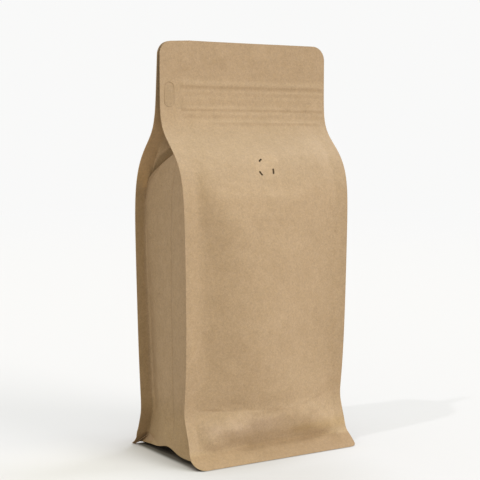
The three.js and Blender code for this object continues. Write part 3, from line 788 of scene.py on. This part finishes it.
# painted light and shade over the front's paper: darker on the shoulder, which faces up, and along the right edge;
# lighter along the left seal, above the fold at the right and on the foot at the left
painted_light_shade = -0.062 * ease(186, 208, Z) * ease(245, 230, Z)
painted_light_shade += 0.045 * bell(X, -62, 3.5) * ease(60, 80, Z) * ease(190, 165, Z)
painted_light_shade -= 0.045 * ease(60, 66, X) * ease(40, 80, Z) * ease(200, 165, Z)
painted_light_shade += 0.028 * bell(Z, 46, 9) * ease(10, 30, X)
painted_light_shade += 0.045 * bell(Z, 24, 5) * ease(-60, -50, X) * ease(15, -10, X)
faces_front = np.zeros(len(Z), bool)
for c in range(NC):
    if kinds[c] == "front":
        faces_front[[gid(r, c) for r in range(NR)]] = True
painted_light_shade = np.where(faces_front, painted_light_shade, 0)
# painted colour of the light over the front: bluer on the lit left part of the foot, warmer in shade along the bottom
# and in the dark hollow at the right of the foot
painted_light_tint = 0.10 * bell(Z, 24, 6) * ease(-62, -50, X) * ease(20, -10, X) - 0.075 * ease(12, 8, Z)
painted_light_tint -= 0.12 * bell(Z, 16, 4) * ease(10, 30, X)
painted_light_tint = np.where(faces_front, painted_light_tint, 0)
# gusset walls: painted shade, darker and warmer towards the foot and a little darker on the front half; fins' inner
# faces: warmer in shade towards the back
for c in range(NC):
    ids = [gid(r, c) for r in range(NR)]
    if kinds[c] == "wall":
        painted_light_shade[ids] = -0.055 * ease(48, 22, Z[ids]) - 0.012 * ease(0, -20, Y[ids])
        painted_light_tint[ids] = -0.09 * ease(48, 22, Z[ids])
    elif kinds[c] == "inner":
        painted_light_tint[ids] = -0.08 * ease(-10, 10, Y[ids]) * ease(215, 195, Z[ids])
# painted shade along the gusset's middle fold
fold = np.where((np.abs(np.abs(X) - 60) < 9) & (np.abs(Y) < 20) & (Z > 3), 1.0, 0)
low_z = np.clip(Z, 0, ARCH_FOOT)
mid = mix(FIN - front_out(low_z), back_out(low_z) - FIN, place(0.5, Z))
fold = fold * bell(Y, mid, 0.75) * ease(9, 20, Z) * ease(212, 198, Z)
for name, value in (("slit_shade", slit_shade), ("seat", seat), ("crease_highlight", crease_highlight), ("seal", seal), ("fold", fold), ("pocket", pocket), ("deep", deep),
                    ("painted_light_shade", painted_light_shade), ("painted_light_tint", painted_light_tint)):
    at = me.attributes.new(name, "FLOAT", "POINT")
    at.data.foreach_set("value", np.ascontiguousarray(value, np.float32))
me.shade_smooth()
me.set_sharp_from_angle(angle=math.radians(38))
pouch = bpy.data.objects.new("pouch_paper", me)
bpy.context.scene.collection.objects.link(pouch)

# ---- the tab --------------------------------------------------------------------------------------
def tab_outline(shrink, n=18):
    r, h = TAB["w"] / 2 - shrink, TAB["h"] / 2 - TAB["w"] / 2
    a = np.linspace(0, math.pi, n + 1)
    up = [(r * math.cos(t), h + r * math.sin(t)) for t in a]
    down = [(-r * math.cos(t), -h - r * math.sin(t)) for t in a]
    return up + down


def build_tab():
    y0 = -float(front_out(TAB["z"]))
    layers = [(1.2, 0.0), (0.25, 0.0), (0.05, 0.0), (0.0, 0.06), (0.0, 0.26), (0.07, 0.33), (0.3, 0.345), (1.1, 0.35), (2.2, 0.36)]
    vs, fs, n = [], [], None
    for shrink, lift in layers:
        ring = tab_outline(shrink)
        n = len(ring)
        for dx, dz in ring:
            x, z = TAB["x"] + dx, TAB["z"] + dz
            base = -float(front_out(z)) + 0.34 + 0.30 * float(ease(1, 8.6, dz)) - 0.02 * float(ease(-1, -8.6, dz))
            vs.append((x, base - lift - 0.03 * math.sin(dx * 0.9 + dz * 0.35), z))
    for k in range(len(layers) - 1):
        for i in range(n):
            j = (i + 1) % n
            fs.append((k * n + i, k * n + j, (k + 1) * n + j, (k + 1) * n + i))
    fs.append(tuple(range(n))[::-1])
    fs.append(tuple(len(vs) - n + i for i in range(n)))
    m = bpy.data.meshes.new("tab_skin")
    m.from_pydata([tuple(c / 1000 for c in v) for v in vs], [], fs)
    m.validate()
    bm = bmesh.new()
    bm.from_mesh(m)
    bmesh.ops.recalc_face_normals(bm, faces=bm.faces)
    bm.to_mesh(m)
    bm.free()
    m.shade_smooth()
    m.set_sharp_from_angle(angle=math.radians(50))
    o = bpy.data.objects.new("tab_paper", m)
    bpy.context.scene.collection.objects.link(o)
    return o


tab = build_tab()

# =====================================================================================
# Kraft paper
# =====================================================================================
def kraft(name, base, dark_fibre, light_fibre, strength=1.0):
    m = bpy.data.materials.new(name)
    m.use_nodes = True
    nt = m.node_tree
    nt.nodes.clear()
    N, L = nt.nodes, nt.links

    def node(kind, **kw):
        n = N.new(kind)
        for k, v in kw.items():
            if k in ("operation", "blend_type", "data_type", "feature", "distance", "noise_dimensions", "attribute_name",
                     "voronoi_dimensions", "normalize", "interpolation_type", "clamp_result", "factor_mode"):
                setattr(n, k, v)
            else:
                n.inputs[k.replace("_", " ") if k not in n.inputs else k].default_value = v
        return n

    out = node("ShaderNodeOutputMaterial")
    bsdf = node("ShaderNodeBsdfPrincipled")
    L.new(bsdf.outputs[0], out.inputs[0])
    bsdf.inputs["Specular IOR Level"].default_value = 0.28
    tc = node("ShaderNodeTexCoord")
    mm = node("ShaderNodeMapping")
    mm.inputs["Scale"].default_value = (1000, 1000, 1000)
    L.new(tc.outputs["Object"], mm.inputs[0])
    pos = mm.outputs[0]

    def noise(scale, detail=3.0, rough=0.55, vec=None, distortion=0.0, offset=None):
        n = node("ShaderNodeTexNoise", Scale=scale, Detail=detail, Roughness=rough, Distortion=distortion)
        v = vec or pos
        if offset is not None:
            o = node("ShaderNodeMapping")
            o.inputs["Location"].default_value = offset
            L.new(v, o.inputs[0])
            v = o.outputs[0]
        L.new(v, n.inputs["Vector"])
        return n.outputs["Fac"]

    def math_(op, a, b=None, c=None, clamp=False):
        n = node("ShaderNodeMath", operation=op)
        n.use_clamp = clamp
        for i, v in enumerate((a, b, c)):
            if v is None:
                continue
            if isinstance(v, (int, float)):
                n.inputs[i].default_value = v
            else:
                L.new(v, n.inputs[i])
        return n.outputs[0]

    def band(v, centre, width):
        """1 on the contour where v is centre, 0 past width from it."""
        d = math_("ABSOLUTE", math_("SUBTRACT", v, centre))
        r = node("ShaderNodeMapRange")
        r.inputs["From Min"].default_value = 0.0
        r.inputs["From Max"].default_value = width
        r.inputs["To Min"].default_value = 1.0
        r.inputs["To Max"].default_value = 0.0
        L.new(d, r.inputs[0])
        return r.outputs[0]

    def mapped(v, a, b, c, d):
        r = node("ShaderNodeMapRange")
        for i, x in zip((1, 2, 3, 4), (a, b, c, d)):
            r.inputs[i].default_value = x
        L.new(v, r.inputs[0])
        return r.outputs[0]

    def mix_colour(fac, a, b, blend="MIX"):
        n = node("ShaderNodeMix", data_type="RGBA", blend_type=blend)
        if isinstance(fac, (int, float)):
            n.inputs[0].default_value = fac
        else:
            L.new(fac, n.inputs[0])
        for i, v in ((6, a), (7, b)):
            if isinstance(v, tuple):
                n.inputs[i].default_value = (*v, 1)
            else:
                L.new(v, n.inputs[i])
        return n.outputs[2]

    # cloudy pulp, then grain
    cloud = noise(0.030, 3, 0.5)
    flocs = noise(0.16, 4, 0.6, offset=(31, 7, 3))
    grain = noise(0.62, 4, 0.7, offset=(5, 19, 2))
    fine = noise(1.9, 3, 0.65, offset=(1, 2, 9))
    lum = math_("MULTIPLY_ADD", math_("SUBTRACT", cloud, 0.5), 0.10 * strength, 1.0)
    lum = math_("MULTIPLY_ADD", math_("SUBTRACT", flocs, 0.5), 0.145 * strength, lum)
    lum = math_("MULTIPLY_ADD", math_("SUBTRACT", grain, 0.5), 0.56 * strength, lum)
    lum = math_("MULTIPLY_ADD", math_("SUBTRACT", fine, 0.5), 0.55 * strength, lum)
    # fibres: thin contour lines of warped noise
    fib_a = band(noise(0.62, 1.5, 0.5, distortion=0.9, offset=(40, 3, 8)), 0.5, 0.022)
    fib_b = band(noise(0.95, 1.0, 0.5, distortion=1.2, offset=(3, 60, 21)), 0.52, 0.020)
    keep_a = mapped(noise(0.35, 2, 0.5, offset=(9, 9, 70)), 0.48, 0.62, 0, 1)
    keep_b = mapped(noise(0.4, 2, 0.5, offset=(90, 2, 7)), 0.5, 0.64, 0, 1)
    fib_a, fib_b = math_("MULTIPLY", fib_a, keep_a), math_("MULTIPLY", fib_b, keep_b)
    # sparse specks of bark
    vor = node("ShaderNodeTexVoronoi", feature="F1", Scale=0.17, Randomness=1.0)
    L.new(pos, vor.inputs["Vector"])
    sep = node("ShaderNodeSeparateColor")
    L.new(vor.outputs["Color"], sep.inputs[0])
    size = mapped(sep.outputs[0], 0.45, 1.0, 0.0, 0.075)
    near = math_("SUBTRACT", size, math_("MULTIPLY", vor.outputs["Distance"], 1.0))
    speck = mapped(near, 0.0, 0.03, 0, 1)
    tint = mix_colour(mapped(flocs, 0.35, 0.65, 0, 1), tuple(c * f for c, f in zip(base, (0.985, 0.98, 0.965))),
                      tuple(c * f for c, f in zip(base, (1.015, 1.02, 1.035))))
    comb = node("ShaderNodeCombineColor")
    for i in range(3):
        L.new(lum, comb.inputs[i])
    warm = mapped(noise(0.42, 3, 0.6, offset=(77, 4, 50)), 0.3, 0.7, 0, 1)
    tint = mix_colour(1.0, tint, mix_colour(warm, (1.005, 1.0, 0.976), (0.995, 1.0, 1.024)), "MULTIPLY")
    col = mix_colour(1.0, tint, comb.outputs[0], "MULTIPLY")
    col = mix_colour(math_("MULTIPLY", fib_a, 0.30 * strength), col, tuple(dark_fibre))
    col = mix_colour(math_("MULTIPLY", fib_b, 0.34 * strength), col, tuple(light_fibre))
    col = mix_colour(math_("MULTIPLY", speck, 0.55), col, (0.16, 0.09, 0.045))

    def attribute(nm):
        a = node("ShaderNodeAttribute")
        a.attribute_name = nm
        return a.outputs["Fac"]

    # painted light and shade over the paper, bluer where lit and warmer in shade
    shade = node("ShaderNodeCombineColor")
    level = math_("MULTIPLY_ADD", attribute("painted_light_shade"), strength, 1.0)
    # the blue channel follows the painted colour of the light most, the green a little
    for i, part in enumerate((0.0, 0.15, 1.0)):
        L.new(math_("MULTIPLY_ADD", attribute("painted_light_tint"), part * strength, level), shade.inputs[i])
    col = mix_colour(1.0, col, shade.outputs[0], "MULTIPLY")
    # painted shade on the foot's seal band, and a darker band along the top
    col = mix_colour(math_("MULTIPLY", attribute("seal"), 0.19), col, (0.09, 0.020, 0.0))
    # painted shade along the gusset's middle fold
    col = mix_colour(math_("MULTIPLY", attribute("fold"), 0.22), col, tuple(dark_fibre))
    # painted light in the fold above the gusset's arch and on the fins' inner faces
    col = mix_colour(attribute("pocket"), col, mix_colour(1.0, col, (1.42, 1.38, 1.30), "MULTIPLY"))
    # painted shade under that fold's lip
    col = mix_colour(attribute("deep"), col, mix_colour(1.0, col, (0.71, 0.69, 0.62), "MULTIPLY"))
    # painted highlight along the front's fold
    col = mix_colour(math_("MULTIPLY", attribute("crease_highlight"), 0.05), col, tuple(light_fibre))
    # painted shade in the gap round the tab
    col = mix_colour(math_("MULTIPLY", attribute("seat"), 0.10), col, tuple(dark_fibre))
    # painted shade in the slits: near black
    col = mix_colour(math_("MULTIPLY", attribute("slit_shade"), 0.97), col, (0.012, 0.008, 0.005))
    L.new(col, bsdf.inputs["Base Color"])
    rough = math_("MULTIPLY_ADD", grain, 0.16, 0.70)
    L.new(rough, bsdf.inputs["Roughness"])
    # surface: soft cockle, grain and standing fibres
    height = math_("MULTIPLY", noise(0.22, 3, 0.5, offset=(12, 80, 4)), 0.16)
    height = math_("MULTIPLY_ADD", grain, 0.050, height)
    height = math_("MULTIPLY_ADD", fine, 0.020, height)
    height = math_("MULTIPLY_ADD", fib_a, 0.006, height)
    height = math_("MULTIPLY_ADD", fib_b, 0.010, height)
    bump = node("ShaderNodeBump", Strength=0.55, Distance=0.001)
    L.new(height, bump.inputs["Height"])
    L.new(bump.outputs[0], bsdf.inputs["Normal"])
    return m


PAPER = (0.284, 0.190, 0.1005)


def shade(f, colour=PAPER):
    return tuple(c * k for c, k in zip(colour, f))


paper = kraft("kraft_paper", PAPER, shade((0.56, 0.52, 0.48)), shade((1.45, 1.60, 1.85)))
paper_tab = kraft("kraft_tab", shade((0.93, 0.925, 0.91)), shade((0.52, 0.48, 0.44)), shade((1.38, 1.52, 1.75)))
pouch.data.materials.append(paper)
tab.data.materials.append(paper_tab)
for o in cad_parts.values():
    for s in o.material_slots:
        s.material = paper_tab if o.name == "pull_tab" else paper

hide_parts("pouch")
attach(pouch, "root")
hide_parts("pull_tab")
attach(tab, "root")

# =====================================================================================
# Floor, light, camera
# =====================================================================================
SKY = 0.947
floor_me = bpy.data.meshes.new("floor")
S = 60.0
floor_me.from_pydata([(-S, -S, -0.0002), (S, -S, -0.0002), (S, S, -0.0002), (-S, S, -0.0002)], [], [(0, 1, 2, 3)])
floor = bpy.data.objects.new("floor", floor_me)
bpy.context.scene.collection.objects.link(floor)
fm = bpy.data.materials.new("pale_floor")
fm.use_nodes = True
nt = fm.node_tree
nt.nodes.clear()
fo = nt.nodes.new("ShaderNodeOutputMaterial")
fd = nt.nodes.new("ShaderNodeBsdfDiffuse")
fe = nt.nodes.new("ShaderNodeEmission")
fx = nt.nodes.new("ShaderNodeMixShader")
FLOOR_GLOW = 0.25
fd.inputs["Color"].default_value = (0.492, 0.453, 0.415, 1)
fe.inputs["Color"].default_value = (SKY, SKY, SKY * 0.995, 1)
ftc = nt.nodes.new("ShaderNodeTexCoord")
fl = nt.nodes.new("ShaderNodeVectorMath")
fl.operation = "LENGTH"
nt.links.new(ftc.outputs["Object"], fl.inputs[0])
fr_ = nt.nodes.new("ShaderNodeMapRange")
fr_.interpolation_type = "SMOOTHSTEP"
fr_.inputs[1].default_value, fr_.inputs[2].default_value = 0.7, 3.0
fr_.inputs[3].default_value, fr_.inputs[4].default_value = FLOOR_GLOW, 1.0
nt.links.new(fl.outputs["Value"], fr_.inputs[0])
# no glow on the ground under the pouch, where little light gets in, and a painted shadow there: the ground's colour is
# dark
fsep = nt.nodes.new("ShaderNodeSeparateXYZ")
nt.links.new(ftc.outputs["Object"], fsep.inputs[0])
fcomb = nt.nodes.new("ShaderNodeCombineXYZ")
for axis, half in ((0, 0.062), (1, 0.043)):
    a, b, c = (nt.nodes.new("ShaderNodeMath") for _ in range(3))
    a.operation, b.operation, c.operation = "ABSOLUTE", "SUBTRACT", "MAXIMUM"
    b.inputs[1].default_value, c.inputs[1].default_value = half, 0.0
    nt.links.new(fsep.outputs[axis], a.inputs[0])
    nt.links.new(a.outputs[0], b.inputs[0])
    nt.links.new(b.outputs[0], c.inputs[0])
    nt.links.new(c.outputs[0], fcomb.inputs[axis])
flen = nt.nodes.new("ShaderNodeVectorMath")
flen.operation = "LENGTH"
nt.links.new(fcomb.outputs[0], flen.inputs[0])
fout = nt.nodes.new("ShaderNodeMapRange")
fout.interpolation_type = "SMOOTHSTEP"
fout.inputs[1].default_value, fout.inputs[2].default_value = 0.0, 0.03
nt.links.new(flen.outputs["Value"], fout.inputs[0])
floor_shadow_mask = nt.nodes.new("ShaderNodeMapRange")
floor_shadow_mask.interpolation_type = "SMOOTHSTEP"
floor_shadow_mask.inputs[1].default_value, floor_shadow_mask.inputs[2].default_value = 0.0015, 0.0065
nt.links.new(flen.outputs["Value"], floor_shadow_mask.inputs[0])
fcol = nt.nodes.new("ShaderNodeMix")
fcol.data_type = "RGBA"
fcol.inputs[6].default_value = (0.13, 0.113, 0.088, 1)
# painted shadow in front of the pouch: the ground is darker there, and warm as if lit by light off the paper
fnear = nt.nodes.new("ShaderNodeVectorMath")
fnear.operation = "DISTANCE"
fnear.inputs[1].default_value = (-0.035, -0.09, 0)
nt.links.new(ftc.outputs["Object"], fnear.inputs[0])
front_shadow_mask = nt.nodes.new("ShaderNodeMapRange")
front_shadow_mask.interpolation_type = "SMOOTHSTEP"
front_shadow_mask.inputs[1].default_value, front_shadow_mask.inputs[2].default_value = 0.01, 0.105
nt.links.new(fnear.outputs["Value"], front_shadow_mask.inputs[0])
fbase = nt.nodes.new("ShaderNodeMix")
fbase.data_type = "RGBA"
fbase.inputs[6].default_value = (0.424, 0.384, 0.336, 1)
fbase.inputs[7].default_value = fd.inputs["Color"].default_value
nt.links.new(front_shadow_mask.outputs[0], fbase.inputs[0])
# painted light beside the pouch: the ground is a little paler there, over part of its shadow
fside = nt.nodes.new("ShaderNodeVectorMath")
fside.operation = "DISTANCE"
fside.inputs[1].default_value = (-0.135, 0.002, 0)
nt.links.new(ftc.outputs["Object"], fside.inputs[0])
side_light_mask = nt.nodes.new("ShaderNodeMapRange")
side_light_mask.interpolation_type = "SMOOTHSTEP"
side_light_mask.inputs[1].default_value, side_light_mask.inputs[2].default_value = 0.015, 0.105
nt.links.new(fside.outputs["Value"], side_light_mask.inputs[0])
fground = nt.nodes.new("ShaderNodeMix")
fground.data_type = "RGBA"
fground.inputs[6].default_value = (0.565, 0.519, 0.470, 1)
fground.inputs[7].default_value = fd.inputs["Color"].default_value
nt.links.new(side_light_mask.outputs[0], fground.inputs[0])
nt.links.new(fground.outputs[2], fbase.inputs[7])
nt.links.new(fbase.outputs[2], fcol.inputs[7])
nt.links.new(floor_shadow_mask.outputs[0], fcol.inputs[0])
nt.links.new(fcol.outputs[2], fd.inputs["Color"])
fmul = nt.nodes.new("ShaderNodeMath")
fmul.operation = "MULTIPLY"
nt.links.new(fr_.outputs[0], fmul.inputs[0])
nt.links.new(fout.outputs[0], fmul.inputs[1])
nt.links.new(fmul.outputs[0], fx.inputs[0])
nt.links.new(fd.outputs[0], fx.inputs[1])
nt.links.new(fe.outputs[0], fx.inputs[2])
nt.links.new(fx.outputs[0], fo.inputs[0])
floor_me.materials.append(fm)

world = bpy.data.worlds.new("studio")
bpy.context.scene.world = world
world.use_nodes = True
bg = world.node_tree.nodes["Background"]
bg.inputs[0].default_value = (SKY, SKY, SKY * 0.995, 1)
bg.inputs[1].default_value = 1.0


def sun(name, toward, strength, angle, colour=(1, 1, 1)):
    l = bpy.data.lights.new(name, "SUN")
    l.energy = strength * math.pi
    l.angle = math.radians(angle)
    l.color = colour
    o = bpy.data.objects.new(name, l)
    bpy.context.scene.collection.objects.link(o)
    o.rotation_euler = Vector(toward).to_track_quat("Z", "Y").to_euler()
    return o


def toward(azimuth, elevation):
    a, e = math.radians(azimuth), math.radians(elevation)
    return (math.sin(a) * math.cos(e), -math.cos(a) * math.cos(e), math.sin(e))


# name, direction it comes from, strength in each colour (the sky is 0.947), softness in degrees
LIGHTS = [("key", toward(28, 20), (0.80, 0.825, 0.90), 35), ("right", toward(90, 50), (0.545, 0.615, 0.80), 35),
          ("fill", toward(-58, 34), (0.085, 0.075, 0.05), 60),
          ("top", toward(0, 80), (0.11, 0.20, 0.17), 35), ("left", (-0.55, -0.10, 0.827), (0.21, 0.22, 0.25), 1.5)]
for name, way, rgb, angle in LIGHTS:
    sun(name, way, max(rgb), angle, tuple(c / max(rgb) for c in rgb))

HALF_PIXEL = 0.45 / 1202.27
psi, th = math.radians(32.498) - HALF_PIXEL, math.radians(4.625) - HALF_PIXEL
Fv = Vector((math.sin(psi) * math.cos(th), math.cos(psi) * math.cos(th), -math.sin(th)))
Rv = Vector((math.cos(psi), -math.sin(psi), 0))
Uv = Rv.cross(Fv)
cam = bpy.data.cameras.new("camera")
cam.sensor_width = 36
cam.sensor_fit = "HORIZONTAL"
cam.lens = 1202.27 * 36 / 480
cam.clip_end = 500
cam_o = bpy.data.objects.new("camera", cam)
bpy.context.scene.collection.objects.link(cam_o)
M = Matrix.Identity(4)
for i in range(3):
    M[i][0], M[i][1], M[i][2] = Rv[i], Uv[i], -Fv[i]
M[0][3], M[1][3], M[2][3] = -0.475157, -0.740571, 0.223693
cam_o.matrix_world = M
bpy.context.scene.camera = cam_o
bpy.context.scene.view_settings.view_transform = "Standard"
bpy.context.scene.view_settings.look = "None"

tris = sum(len(p.vertices) - 2 for p in pouch.data.polygons)
print("pouch triangles", tris, "rows", NR, "columns", NC)
